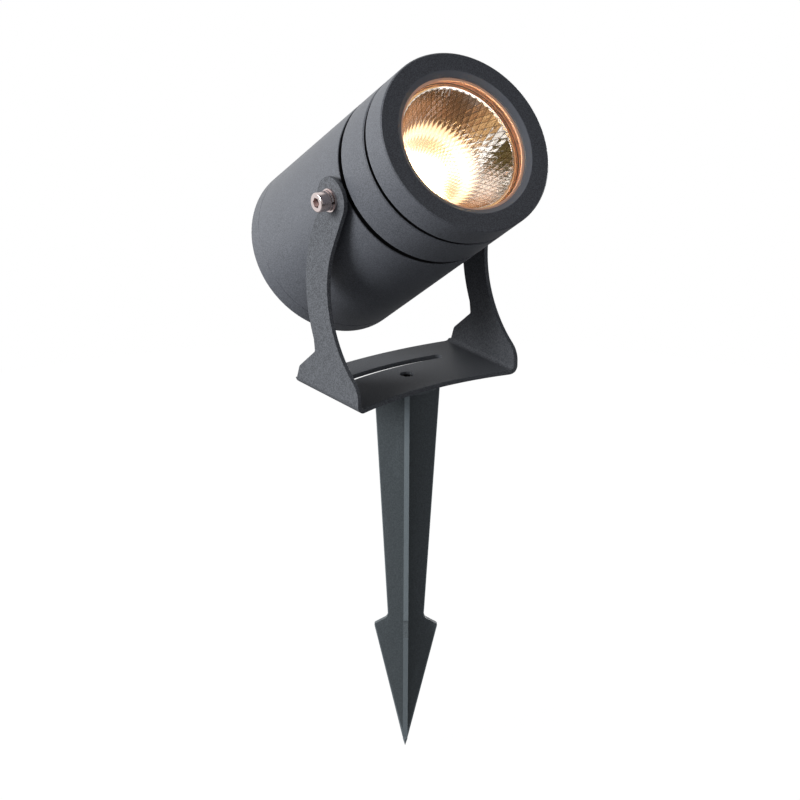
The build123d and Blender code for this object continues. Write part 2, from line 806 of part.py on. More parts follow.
spring_seat = ear_outside + pivot_washer_thickness
with BuildPart() as pivot_spring_washers:
    for side in side_planes:
        with BuildSketch(side.offset(spring_seat)):
            Circle(spring_washer_diameter / 2)
            Circle(pivot_screw_diameter / 2 + turning_gap, mode=Mode.SUBTRACT)
            with Locations((spring_washer_diameter / 2, 0)):
                Rectangle(spring_washer_diameter, spring_washer_split, rotation=10, mode=Mode.SUBTRACT)
        extrude(amount=spring_washer_thickness)

head_seat = spring_seat + spring_washer_thickness
with BuildPart() as pivot_screws:
    for side in side_planes:
        with BuildSketch(side.offset(head_seat - pivot_screw_length)):
            Circle(pivot_screw_diameter / 2)
        extrude(amount=pivot_screw_length)
        with BuildSketch(side.offset(head_seat)):
            Circle(pivot_screw_head / 2)
        extrude(amount=pivot_screw_head_height)
        with BuildSketch(side.offset(head_seat + pivot_screw_head_height)):
            RegularPolygon(pivot_socket_flats / 2, 6, major_radius=False)
        extrude(amount=-pivot_socket_depth, mode=Mode.SUBTRACT)
    outer_rims = rims_at(pivot_screws, pivot_screw_head / 2)
    fillet(outer_rims.filter_by(lambda edge: abs(edge.center().X) > head_seat + 1), pivot_screw_head_round)

# ================================================================== yoke
# Side outline in the (Y, Z) plane. The front edge runs down from the ear's round along a straight tangent
# into a hollow arc, the rear edge is a larger arc about the same centre.
arm_centre = Vector(arm_front - arm_inner_radius, pivot_height - arm_drop)
ear_centre = Vector(-pivot_forward, pivot_height)
arm_outer_radius = arm_inner_radius + arm_width
between = ear_centre - arm_centre
bearing = math.atan2(between.Y, between.X)
tangent_turn = bearing - math.acos((arm_inner_radius + ear_radius) / between.length)
tangent_side = Vector(math.cos(tangent_turn), math.sin(tangent_turn))
ear_tangent = ear_centre - tangent_side * ear_radius
arm_tangent = arm_centre + tangent_side * arm_inner_radius
# Where the arm's rear edge meets the ear's round
along = (arm_outer_radius**2 - ear_radius**2 + between.length**2) / (2 * between.length)
meet_turn = bearing - math.acos(along / arm_outer_radius)
ear_meet = arm_centre + Vector(math.cos(meet_turn), math.sin(meet_turn)) * arm_outer_radius


def arm_edge(radius, height):
    """Point of an arm edge arc at a height."""
    return Vector(arm_centre.X + math.sqrt(radius**2 - (height - arm_centre.Y) ** 2), height)


def flat_cut_edges(part):
    """Edges where a cut face meets the flat of an ear or the top of the base, short of the bends."""
    chosen = []
    for edge in part.edges():
        middle = edge @ 0.5
        from_outside = yoke_half - abs(middle.X)
        on_ear = min(abs(from_outside), abs(from_outside - sheet)) < 0.01 and middle.Z > bend_outside + 0.01
        on_base = abs(middle.Z - sheet) < 0.01 and from_outside > bend_outside + 0.01
        if on_ear or on_base:
            chosen.append(edge)
    return chosen


def base_edge(at_ears, at_middle):
    """Arc across the base, from its distance at the ears and at the middle. It runs on past both ears."""
    span = yoke_half - sheet / 2
    radius = (span**2 + (at_middle - at_ears) ** 2) / (2 * abs(at_middle - at_ears))
    bulge = math.copysign(radius, at_middle - at_ears)
    reach = yoke_half + 1
    end = at_middle - bulge + math.copysign(math.sqrt(radius**2 - reach**2), bulge)
    return ThreePointArc((-reach, end), (0, at_middle), (reach, end))


base_half = base_depth / 2
foot_top = arm_centre.Y - math.sqrt(arm_inner_radius**2 - (-base_half - arm_centre.X) ** 2)
front_foot = Vector(-base_half, foot_top)
rear_step = Vector(base_half - foot_step_setback, foot_step_height)
notch = Vector(notch_reach, notch_height)
rear_start = arm_edge(arm_outer_radius, notch_height + arm_end_rise)
ear_top = ear_centre + Vector(0, ear_radius)
blank_height = 2 * (pivot_height + ear_radius)
bend_outside = bend_radius + sheet
rear_most = base_half + base_rear_bulge

with BuildPart() as yoke_bracket:
    # The sheet seen from the front: a U with round bends
    with BuildSketch(Plane.XZ):
        with Locations((0, blank_height / 2)):
            RectangleRounded(2 * yoke_half, blank_height, bend_outside)
        with Locations((0, blank_height / 2 + sheet)):
            RectangleRounded(2 * (yoke_half - sheet), blank_height, bend_radius, mode=Mode.SUBTRACT)
    extrude(amount=base_depth, both=True)
    # Both ears cut to their side outline
    with BuildSketch(Plane.YZ) as ear_outline:
        with BuildLine():
            Line(ear_tangent, arm_tangent)
            ThreePointArc(arm_tangent, arm_edge(arm_inner_radius, arm_centre.Y), front_foot)
            Polyline(front_foot, (-base_half, 0), (base_half, 0), rear_step, notch, rear_start)
            ThreePointArc(rear_start, arm_edge(arm_outer_radius, arm_centre.Y), ear_meet)
            ThreePointArc(ear_meet, ear_top, ear_tangent)
        make_face()
        fillet(ear_outline.vertices().sort_by_distance(front_foot)[0], foot_round)
        fillet(ear_outline.vertices().sort_by_distance(notch)[0], notch_round)
        fillet(ear_outline.vertices().sort_by_distance(rear_step)[0], corner_round)
        # The base reaches further back than the ears, up to the middle of the bend
        with Locations((-base_half, 0)):
            Rectangle(base_half + rear_most, sheet + bend_radius / 2, align=(Align.MIN, Align.MIN))
    extrude(amount=2 * yoke_half, both=True, mode=Mode.INTERSECT)
    # Base cut to its plan: hollow front edge, slightly full rear edge
    with BuildSketch(Plane.XY):
        with BuildLine():
            # Both arcs pass the ears in the middle of the sheet
            front = base_edge(-base_half, base_front_dip - base_half)
            rear = base_edge(base_half, rear_most)
            Line(front @ 0, rear @ 0)
            Line(front @ 1, rear @ 1)
        make_face()
    extrude(amount=blank_height, mode=Mode.INTERSECT)
    # Arc slot behind the spike, and the tapped centre hole
    with BuildSketch(Plane.XY):
        slot_line = ThreePointArc(
            (-slot_half_span, slot_behind_spike - slot_sag),
            (0, slot_behind_spike),
            (slot_half_span, slot_behind_spike - slot_sag),
        )
        SlotArc(slot_line, slot_width)
        Circle(stud_diameter / 2 + turning_gap)
    extrude(amount=sheet, mode=Mode.SUBTRACT)
    # Pivot holes
    for side in side_planes:
        with BuildSketch(side.offset(yoke_half - 2 * sheet)):
            Circle(pivot_screw_diameter / 2 + turning_gap)
        extrude(amount=3 * sheet, mode=Mode.SUBTRACT)
    fillet(flat_cut_edges(yoke_bracket), sheet_edge_round)

# ================================================================== ground spike
neck = -(spike_length - barb_height)
barb_tip = neck - barb_slope

with BuildPart() as ground_spike:
    for quarter in (0, 90):
        turn = math.radians(spike_turn + quarter)
        fin_plane = Plane(
            origin=(0, 0, -turning_gap),
            x_dir=(math.cos(turn), math.sin(turn), 0),
            z_dir=(math.sin(turn), -math.cos(turn), 0),
        )
        with BuildSketch(fin_plane) as fin:
            with BuildLine():
                Polyline(
                    (0, 0),
                    (spike_top_width / 2, 0),
                    (spike_neck_width / 2, neck),
                    (barb_width / 2, barb_tip),
                    (0, -spike_length),
                    close=True,
                )
            make_face()
            fillet(fin.vertices().sort_by_distance((spike_neck_width / 2, neck))[0], barb_neck_round)
            fillet(fin.vertices().sort_by_distance((barb_width / 2, barb_tip))[0], barb_tip_round)
            mirror(about=Plane.YZ)
        extrude(amount=fin_thickness / 2, both=True)
    # The fins run together into a round point
    with BuildSketch(Plane.XZ):
        with BuildLine():
            Polyline(
                (0, -spike_length),
                (barb_width * tip_cone_slope, barb_width - spike_length),
                (barb_width, barb_width - spike_length),
                (barb_width, 0),
                (0, 0),
                close=True,
            )
        make_face()
    revolve(axis=Axis.Z, mode=Mode.INTERSECT)
    # Flange and hub that take the stud
    with BuildSketch(Plane.XY.offset(-turning_gap)):
        Circle(flange_diameter / 2)
    extrude(amount=-flange_thickness)
    with BuildSketch(Plane.XY.offset(-turning_gap)):
        Circle(hub_diameter / 2)
    extrude(amount=-hub_depth)
    with BuildSketch(Plane.XY.offset(-turning_gap)):
        Circle(stud_diameter / 2 + thread_gap)
    extrude(amount=-stud_engagement, mode=Mode.SUBTRACT)

stud_top = sheet - stud_below_top
with BuildPart() as spike_stud:
    with BuildSketch(Plane.XY.offset(stud_top)):
        Circle(stud_diameter / 2)
    extrude(amount=-(stud_top + stud_engagement))
    chamfer(spike_stud.edges().filter_by(GeomType.CIRCLE), 0.4)
    with BuildSketch(Plane.XY.offset(stud_top)):
        RegularPolygon(stud_socket_flats / 2, 6, major_radius=False)
    extrude(amount=-stud_socket_depth, mode=Mode.SUBTRACT)

# ================================================================== labels and files
pieces = {
    "ground_spike": ground_spike,
    "spike_stud": spike_stud,
    "yoke_bracket": yoke_bracket,
    "main_housing": main_housing,
    "optics_collar": optics_collar,
    "front_bezel": front_bezel,
    "rear_cap": rear_cap,
    "front_glass": front_glass,
    "glass_front_gasket": glass_front_gasket,
    "glass_rear_gasket": glass_rear_gasket,
    "bezel_o_ring": bezel_o_ring,
    "collar_o_ring": collar_o_ring,
    "rear_cap_o_ring": rear_cap_o_ring,
    "faceted_reflector": faceted_reflector,
    "thermal_pad": thermal_pad,
    "led_board": led_board,
    "led_emitter": led_emitter,
    "led_holder": led_holder,
    "led_holder_screws": led_holder_screws,
    "driver_tray": driver_tray,
    "driver_board": driver_board,
    "led_leads": led_leads,
    "driver_screws": driver_screws,
    "driver_inductor": driver_inductor,
    "filter_capacitor": filter_capacitor,
    "bridge_rectifier": bridge_rectifier,
    "terminal_block": terminal_block,
    "rear_cap_screws": rear_cap_screws,
    "gland_body": gland_body,
    "gland_sealing_washer": gland_sealing_washer,
    "gland_locknut": gland_locknut,
    "gland_bush": gland_bush,
    "gland_nut": gland_nut,
    "friction_washers": friction_washers,
    "pivot_washers": pivot_washers,
    "pivot_spring_washers": pivot_spring_washers,
    "pivot_screws": pivot_screws,
}

os.makedirs("parts", exist_ok=True)
for name, piece in pieces.items():
    piece.part.label = name
    export_step(piece.part, f"parts/{name}.step")
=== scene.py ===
import json
import math

import bpy
import numpy as np
from bpy.props import FloatProperty, FloatVectorProperty, IntProperty, PointerProperty
from mathutils import Matrix, Vector


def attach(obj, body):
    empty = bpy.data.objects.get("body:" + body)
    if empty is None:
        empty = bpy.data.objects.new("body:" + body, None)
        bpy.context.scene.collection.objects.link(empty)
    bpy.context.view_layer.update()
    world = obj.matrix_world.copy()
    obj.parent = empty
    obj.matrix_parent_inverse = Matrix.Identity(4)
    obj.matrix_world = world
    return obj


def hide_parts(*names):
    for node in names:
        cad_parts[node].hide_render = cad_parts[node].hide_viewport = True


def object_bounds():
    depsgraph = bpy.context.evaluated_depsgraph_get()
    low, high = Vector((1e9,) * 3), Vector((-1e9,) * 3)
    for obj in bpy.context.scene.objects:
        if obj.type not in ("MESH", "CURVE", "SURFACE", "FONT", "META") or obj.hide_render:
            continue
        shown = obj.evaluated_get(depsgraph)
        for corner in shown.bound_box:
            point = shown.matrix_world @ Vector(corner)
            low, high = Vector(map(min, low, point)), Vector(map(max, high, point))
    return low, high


bl_info = {
    "name": "Garden Spike Spotlight",
    "version": (1, 0, 0),
    "blender": (4, 5, 0),
    "location": "3D View > Sidebar > Spotlight",
    "description": "Finishes, faceted reflector and lit lamp of a garden spike spotlight, with its studio",
    "category": "Object",
}

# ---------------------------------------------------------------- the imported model
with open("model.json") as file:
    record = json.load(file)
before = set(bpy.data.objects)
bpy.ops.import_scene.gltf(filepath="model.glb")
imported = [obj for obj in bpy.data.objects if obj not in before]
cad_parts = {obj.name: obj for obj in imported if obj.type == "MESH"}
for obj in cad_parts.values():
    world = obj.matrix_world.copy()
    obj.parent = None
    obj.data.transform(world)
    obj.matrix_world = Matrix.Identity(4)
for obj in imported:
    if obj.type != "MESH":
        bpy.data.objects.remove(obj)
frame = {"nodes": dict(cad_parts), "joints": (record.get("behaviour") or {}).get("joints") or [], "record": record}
nodes = frame["nodes"]
cad_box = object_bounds()
pivot = np.array(next(joint["pos_m"] for joint in frame["joints"] if joint["name"] == "head_tilt"))
# The cable leaves straight backwards, so the head looks the other way.
forward = -np.array(next(mount["axis"] for mount in frame["record"]["mounts"] if mount["name"] == "cable_entry"))
sideways = np.array([1.0, 0.0, 0.0])
upwards = np.cross(sideways, -forward)


def vertices(node):
    """A node's vertices as an array, one row each."""
    mesh = nodes[node].data
    points = np.empty(3 * len(mesh.vertices))
    mesh.vertices.foreach_get("co", points)
    return points.reshape(-1, 3)


def head_reach(node):
    """Distance ahead of the pivot along the head's axis, and distance from that axis, of a node's vertices."""
    offset = vertices(node) - pivot
    ahead = offset @ forward
    return ahead, np.linalg.norm(offset - np.outer(ahead, forward), axis=1)


NEAR = 0.00002  # A vertex this near to a surface lies on it
reflector_ahead, reflector_radii = head_reach("faceted_reflector")
emitter_ahead, emitter_radii = head_reach("led_emitter")
emitter_radius = emitter_radii.max()
bezel_ahead, bezel_radii = head_reach("front_bezel")
# Where the chamfer of the mouth meets the flat front of the bezel
mouth_radius = bezel_radii[bezel_ahead > bezel_ahead.max() - NEAR].min()
head_radius = head_reach("main_housing")[1].max()


def skin_span(node):
    """Where the outermost skin of a turned piece of the head begins and ends, ahead of the pivot."""
    ahead, radii = head_reach(node)
    skin = ahead[radii > head_radius - NEAR]
    return skin.min(), skin.max()


# The two grooves between the three rings of the head, from their rear to their front
collar_span = skin_span("optics_collar")
grooves = ((skin_span("main_housing")[1], collar_span[0]), (collar_span[1], skin_span("front_bezel")[0]))

WHITE, BLACK = (1.0, 1.0, 1.0), (0.0, 0.0, 0.0)


# ---------------------------------------------------------------- sizes and colours that a user would change
class CoatSettings(bpy.types.PropertyGroup):
    colour: FloatVectorProperty(
        name="Coat", description="Powder coat of the head", subtype="COLOR", default=(0.080, 0.086, 0.096)
    )
    yoke_colour: FloatVectorProperty(
        name="Yoke coat", description="Powder coat of the bent sheet", subtype="COLOR", default=(0.086, 0.091, 0.097)
    )
    grain: FloatProperty(
        name="Grain",
        description="Size of one bump of the powder coat",
        subtype="DISTANCE",
        unit="LENGTH",
        default=0.0005,
    )
    roughness: FloatProperty(
        name="Roughness", description="Roughness of the coat", subtype="FACTOR", min=0, max=1, default=0.46
    )


class SpikeSettings(bpy.types.PropertyGroup):
    colour: FloatVectorProperty(
        name="Spike", description="Moulded plastic of the ground spike", subtype="COLOR", default=(0.105, 0.124, 0.130)
    )


class ReflectorSettings(bpy.types.PropertyGroup):
    columns: IntProperty(name="Columns", description="Diamonds round the bowl", default=54)
    rows: IntProperty(name="Rows", description="Rows of corners from mouth to throat", default=16)
    cuts: IntProperty(name="Cuts", description="Divisions along each side of a diamond", default=6)
    bulge: FloatProperty(
        name="Bulge",
        description="How far the middle of a diamond stands out past its corners, as a share of its width",
        default=0.06,
    )
    outer_bulge: FloatProperty(
        name="Outer bulge", description="The same for the diamonds outside the glow", default=0.012
    )
    rim_width: FloatProperty(
        name="Rim width", description="Width of the rolled rim", subtype="DISTANCE", unit="LENGTH", default=0.0022
    )
    rim_height: FloatProperty(
        name="Rim height", description="Height of the rolled rim", subtype="DISTANCE", unit="LENGTH", default=0.0016
    )
    rim_lip: FloatProperty(
        name="Rim lip", description="Rim ahead of the facets", subtype="DISTANCE", unit="LENGTH", default=0.0004
    )
    wall: FloatProperty(
        name="Wall", description="Thickness of the bowl", subtype="DISTANCE", unit="LENGTH", default=0.001
    )
    colour: FloatVectorProperty(
        name="Metal", description="Evaporated metal of the bowl", subtype="COLOR", default=(0.93, 0.90, 0.86)
    )
    glow_reach: FloatProperty(
        name="Glow reach",
        description="Radius to which the lamp washes the facets out, where its toothed edge starts",
        subtype="DISTANCE",
        unit="LENGTH",
        default=0.0184,
    )
    glow_teeth: FloatProperty(
        name="Glow teeth", description="Length of the teeth", subtype="DISTANCE", unit="LENGTH", default=0.0020
    )
    glow_strength: FloatProperty(name="Glow strength", description="Brightness of the washed out facets", default=1.3)
    bronze: FloatVectorProperty(
        name="Bronze", description="The glow as the facets mirror it", subtype="COLOR", default=(0.15, 0.068, 0.030)
    )


class LampSettings(bpy.types.PropertyGroup):
    colour: FloatVectorProperty(
        name="Light", description="Colour of the light", subtype="COLOR", default=(1.0, 0.66, 0.30)
    )
    strength: FloatProperty(name="Strength", description="Brightness of the phosphor", default=70.0)


class StageSettings(bpy.types.PropertyGroup):
    azimuth: FloatProperty(
        name="Azimuth", description="Camera's turn round the object", subtype="ANGLE", default=math.radians(-36.43)
    )
    elevation: FloatProperty(
        name="Elevation", description="Camera above the horizon", subtype="ANGLE", default=math.radians(21.45)
    )
    roll: FloatProperty(name="Roll", description="Camera's roll", subtype="ANGLE", default=math.radians(0.25))
    lens: FloatProperty(name="Lens", description="Focal length on a 36 mm sensor", default=115.59)
    distance: FloatProperty(
        name="Distance",
        description="Camera to the point it looks at",
        subtype="DISTANCE",
        unit="LENGTH",
        default=1.0934,
    )
    aim: FloatVectorProperty(
        name="Aim", description="Point the camera looks at", subtype="XYZ", default=(-0.02448, -0.02800, 0.00429)
    )
    key_power: FloatProperty(name="Key light", description="Power of the large side light", unit="POWER", default=23.0)
    fill_power: FloatProperty(name="Fill light", description="Power of the front light", unit="POWER", default=2.6)
    rear_power: FloatProperty(name="Rear light", description="Power of the light behind", unit="POWER", default=6.0)
    ambient: FloatProperty(name="Ambient", description="Strength of the room's light", default=0.22)
    floor_radius: FloatProperty(
        name="Floor radius", description="Radius of the floor", subtype="DISTANCE", unit="LENGTH", default=0.55
    )


# ---------------------------------------------------------------- shader maths
class Wire:
    """An output socket of a material. Arithmetic and comparisons with it add Math nodes."""

    def __init__(self, finish, socket):
        self.finish, self.socket = finish, socket

    def __add__(self, other):
        return self.finish.maths("ADD", self, other)

    def __sub__(self, other):
        return self.finish.maths("SUBTRACT", self, other)

    def __rsub__(self, other):
        return self.finish.maths("SUBTRACT", other, self)

    def __mul__(self, other):
        return self.finish.maths("MULTIPLY", self, other)

    def __truediv__(self, other):
        return self.finish.maths("DIVIDE", self, other)

    def __rtruediv__(self, other):
        return self.finish.maths("DIVIDE", other, self)

    def __pow__(self, other):
        return self.finish.maths("POWER", self, other)

    def __rpow__(self, other):
        return self.finish.maths("POWER", other, self)

    def __gt__(self, other):
        return self.finish.maths("GREATER_THAN", self, other)

    def __lt__(self, other):
        return self.finish.maths("LESS_THAN", self, other)

    __radd__, __rmul__ = __add__, __mul__


class Finish:
    """A material in the making, with its Principled shader."""

    def __init__(self, name):
        self.material = bpy.data.materials.new(name)
        self.material.use_nodes = True
        self.tree = self.material.node_tree
        self.shader = self.tree.nodes["Principled BSDF"]
        self.place = self.node("ShaderNodeTexCoord", output="Object")

    def node(self, kind, settings=None, sockets=None, output=0):
        """Adds a node: first its settings, where stops are a ramp's, then the values or wires of its sockets."""
        made = self.tree.nodes.new(kind)
        for name, value in (settings or {}).items():
            if name == "stops":
                elements = made.color_ramp.elements
                while len(elements) < len(value):
                    elements.new(1.0)
                for element, (position, colour) in zip(elements, value):
                    element.position, element.color = position, (*colour, 1.0)
            else:
                setattr(made, name, value)
        for name, value in (sockets or {}).items():
            self.join(made.inputs[name], value)
        return Wire(self, made.outputs[output])

    def join(self, socket, value):
        """Links a wire to a socket, or sets the socket to a value."""
        if isinstance(value, Wire):
            self.tree.links.new(value.socket, socket)
        elif socket.type == "RGBA":
            socket.default_value = (*value, 1.0)
        else:
            socket.default_value = value

    def maths(self, operation, first, second=0.0):
        """A Math node. Some operations read only the first value."""
        return self.node("ShaderNodeMath", {"operation": operation}, {0: first, 1: second})

    def noise(self, feature, detail=2.0, roughness=0.5, squeeze=(1.0, 1.0, 1.0)):
        """Noise whose blots are about feature metres across, divided by the squeeze along each axis."""
        place = self.node("ShaderNodeMapping", None, {"Vector": self.place, "Scale": squeeze})
        sockets = {"Vector": place, "Scale": 1.0 / feature, "Detail": detail, "Roughness": roughness}
        return self.node("ShaderNodeTexNoise", None, sockets)

    def cells(self, feature):
        """Distance to the nearest of many points scattered feature metres apart, as a share of feature."""
        return self.node("ShaderNodeTexVoronoi", None, {"Vector": self.place, "Scale": 1.0 / feature}, "Distance")

    def band(self, value, low, high):
        """0 at low and beyond, 1 at high and beyond, smooth between. Low may be the greater of the two."""
        settings = {"interpolation_type": "SMOOTHSTEP"}
        return self.node("ShaderNodeMapRange", settings, {0: value, 1: low, 2: high})

    def ramp(self, value, stops):
        """A colour for every value, from (value, colour) stops with even steps between them."""
        return self.node("ShaderNodeValToRGB", {"stops": stops}, {0: value})

    def along(self, value, low, high, first, last):
        """A straight line's height at a value, from first at low to last at high."""
        return self.node("ShaderNodeMapRange", None, {0: value, 1: low, 2: high, 3: first, 4: last})

    def blend(self, factor, first, second):
        """One colour that turns into another as the factor goes from 0 to 1."""
        # A Mix node's colours are its sockets 6 and 7 and its output 2.
        return self.node("ShaderNodeMix", {"data_type": "RGBA"}, {0: factor, 6: first, 7: second}, 2)

    def head_place(self):
        """Distance ahead of the pivot, distance from the head's axis and angle round it."""
        offset = self.node("ShaderNodeVectorMath", {"operation": "SUBTRACT"}, {0: self.place, 1: pivot})
        ahead, across, above = (
            self.node("ShaderNodeVectorMath", {"operation": "DOT_PRODUCT"}, {0: offset, 1: direction}, "Value")
            for direction in (forward, sideways, upwards)
        )
        radius = (across * across + above * above) ** 0.5
        return ahead, radius, self.maths("ARCTAN2", above, across)

    def bump(self, height, distance):
        """Relief that rises by a distance in metres as the height goes from 0 to 1."""
        return self.node("ShaderNodeBump", None, {"Height": height, "Distance": distance, "Strength": 1.0})

    def ray(self, kind):
        """1 for rays of a kind: Camera, Glossy, Reflection or Transmission."""
        return self.node("ShaderNodeLightPath", output=f"Is {kind} Ray")

    def surface(self, **sockets):
        """Sets the shader's sockets, spaces in their names written as underscores, and returns the material."""
        for name, value in sockets.items():
            self.join(self.shader.inputs[name.replace("_", " ")], value)
        return self.material


def shade(colour, factor):
    """A colour made darker or lighter."""
    return tuple(min(1.0, part * factor) for part in colour)


def paint(material, *names):
    """Gives CAD nodes a material in place of their own."""
    for name in names:
        for slot in nodes[name].material_slots:
            slot.material = material


# ---------------------------------------------------------------- materials
def powder_coat(name, colour, grain, roughness, gloss, on_head=False):
    """Fine orange-peel coat: pale and dark specks, faint handling marks.

    On the head painted shade blackens the grooves between the rings, and painted light makes the mouth's chamfer
    paler.
    """
    finish = Finish(name)
    specks = finish.noise(grain)
    peel = finish.noise(grain * 2.2, 3.0, 0.6)
    marks = finish.noise(0.018, 4.0, 0.55)
    tone = finish.blend(finish.band(specks, 0.34, 0.68), shade(colour, 0.68), shade(colour, 1.38))
    tone = finish.blend(finish.band(marks, 0.45, 0.75) * 0.25, tone, shade(colour, 1.15))
    if on_head:
        ahead, radius, _ = finish.head_place()
        # Painted light: the chamfer of the mouth is painted paler, a spill of the lamp's light.
        on_bezel = finish.band(ahead, collar_span[1], collar_span[1] + 0.001)
        mouth = on_bezel * finish.band(radius, mouth_radius + 0.0005, mouth_radius - 0.0002)
        tone = finish.blend(mouth * 0.8, tone, shade(colour, 1.9))
        edge, depth, groove_painted_shade = 0.0002, 0.0006, (0.003, 0.003, 0.003)
        # Painted shade: inside the grooves between the rings the coat is painted near black, the shade that falls
        # there.
        for rear, front in grooves:
            inside = (ahead > rear + edge) * (ahead < front - edge) * (radius < head_radius - depth)
            tone = finish.blend(inside, tone, groove_painted_shade)
    return finish.surface(
        Base_Color=tone,
        Roughness=roughness + (marks - 0.5) * 0.10 + (specks - 0.5) * 0.10,
        Specular_IOR_Level=gloss,
        Normal=finish.bump(peel + specks * 0.6, 0.00004),
    )


def spike_profile():
    """Height and half width of the fins at the top, above the barbs, at the barbs and at the tip."""
    x, y, height = vertices("ground_spike").T
    width = np.hypot(x, y)
    low, on_fin = height < cad_box[0][2] / 3, width > 0.006
    picks = (
        np.argmax(width),
        np.argmax(np.where(low & on_fin, height, -1)),
        np.argmax(np.where(low, width, -1)),
        np.argmin(height),
    )
    return [(height[pick], width[pick]) for pick in picks]


def moulded_plastic(name, colour, grain=0.0006, roughness=0.55, on_spike=False):
    """Eroded mould texture with pale scuffs. On the spike a painted highlight makes the fins' narrow edges paler."""
    finish = Finish(name)
    texture = finish.noise(grain, 3.0, 0.6)
    scuffs = finish.noise(0.006, 5.0, 0.7, (1.0, 1.0, 0.25))
    tone = finish.blend(finish.band(scuffs, 0.55, 0.80) * 0.35, shade(colour, 0.92), shade(colour, 1.7))
    tone = finish.blend(finish.band(texture, 0.35, 0.65) * 0.8, tone, shade(colour, 0.62))
    if on_spike:
        x, y, height = (finish.node("ShaderNodeSeparateXYZ", None, {0: finish.place}, part) for part in "XYZ")
        top, neck, barb, tip = spike_profile()
        width = (x * x + y * y) ** 0.5
        upper = width - finish.along(height, neck[0], top[0], neck[1], top[1])
        lower = width - finish.along(height, tip[0], barb[0], tip[1], barb[1])
        fade = (-0.0006, -0.0002)
        # Painted highlight: the narrow edges of the fins are painted paler, where light catches them.
        edge = finish.band(upper, *fade) * (height > neck[0]) + finish.band(lower, *fade) * (height < barb[0])
        tone = finish.blend(edge * (0.3 + texture * 0.8), tone, shade(colour, 2.2))
    return finish.surface(
        Base_Color=tone,
        Roughness=roughness + (scuffs - 0.5) * 0.2,
        Normal=finish.bump(texture, 0.00008),
    )


def machined_steel(name, colour, roughness=0.24):
    """Turned and polished metal with fine rings and a few dull spots."""
    finish = Finish(name)
    rings = finish.noise(0.00012, squeeze=(0.15, 1.0, 1.0))
    dull = finish.noise(0.0022, 3.0, 0.6)
    tone = finish.blend(finish.band(dull, 0.45, 0.75) * 0.5, colour, shade(colour, 0.72))
    return finish.surface(
        Base_Color=tone,
        Metallic=1.0,
        Roughness=roughness + (dull - 0.45) * 0.25 + (rings - 0.5) * 0.08,
        Normal=finish.bump(rings, 0.000008),
    )


def soft_rubber(name, colour, roughness=0.6):
    """Dull rubber with a bloom of dust."""
    finish = Finish(name)
    dust = finish.noise(0.0015, 4.0, 0.65)
    tone = finish.blend(finish.band(dust, 0.5, 0.8) * 0.5, colour, shade(colour, 1.8))
    return finish.surface(
        Base_Color=tone, Roughness=roughness + (dust - 0.5) * 0.25, Normal=finish.bump(dust, 0.00003)
    )


def lit_silicone(colour, strength):
    """Translucent silicone that the lamp lights from behind, with a bloom of dust."""
    finish = Finish("warm_silicone")
    dust = finish.noise(0.0015, 4.0, 0.65)
    tone = finish.blend(finish.band(dust, 0.5, 0.8) * 0.5, colour, shade(colour, 0.8))
    return finish.surface(
        Base_Color=tone,
        Roughness=0.4 + (dust - 0.5) * 0.25,
        Emission_Color=finish.blend(dust, shade(colour, 0.7), colour),
        Emission_Strength=strength,
        Normal=finish.bump(dust, 0.00003),
    )


def clear_glass():
    """Toughened glass, very slightly marked."""
    finish = Finish("toughened_glass")
    smears = finish.noise(0.012, 3.0)
    return finish.surface(
        Base_Color=WHITE,
        Roughness=finish.band(smears, 0.5, 0.9) * 0.03,
        Transmission_Weight=1.0,
        IOR=1.5,
    )


def bowl_shape(settings):
    """Mouth and throat radius, ratio of row to row, and the paraboloid's parabola and apex.

    On the paraboloid the radius squared is the parabola times the distance ahead of the apex, and the apex is
    given as its own distance ahead of the pivot.
    """
    ratio = (1 - math.sin(math.pi / settings.columns)) / math.cos(math.pi / settings.columns)
    mouth = reflector_radii.max() - settings.rim_width
    throat = mouth * ratio**settings.rows
    facet_front = reflector_ahead.max() - settings.rim_lip
    parabola = (mouth**2 - throat**2) / (facet_front - reflector_ahead.min())
    return mouth, throat, ratio, parabola, facet_front - mouth**2 / parabola


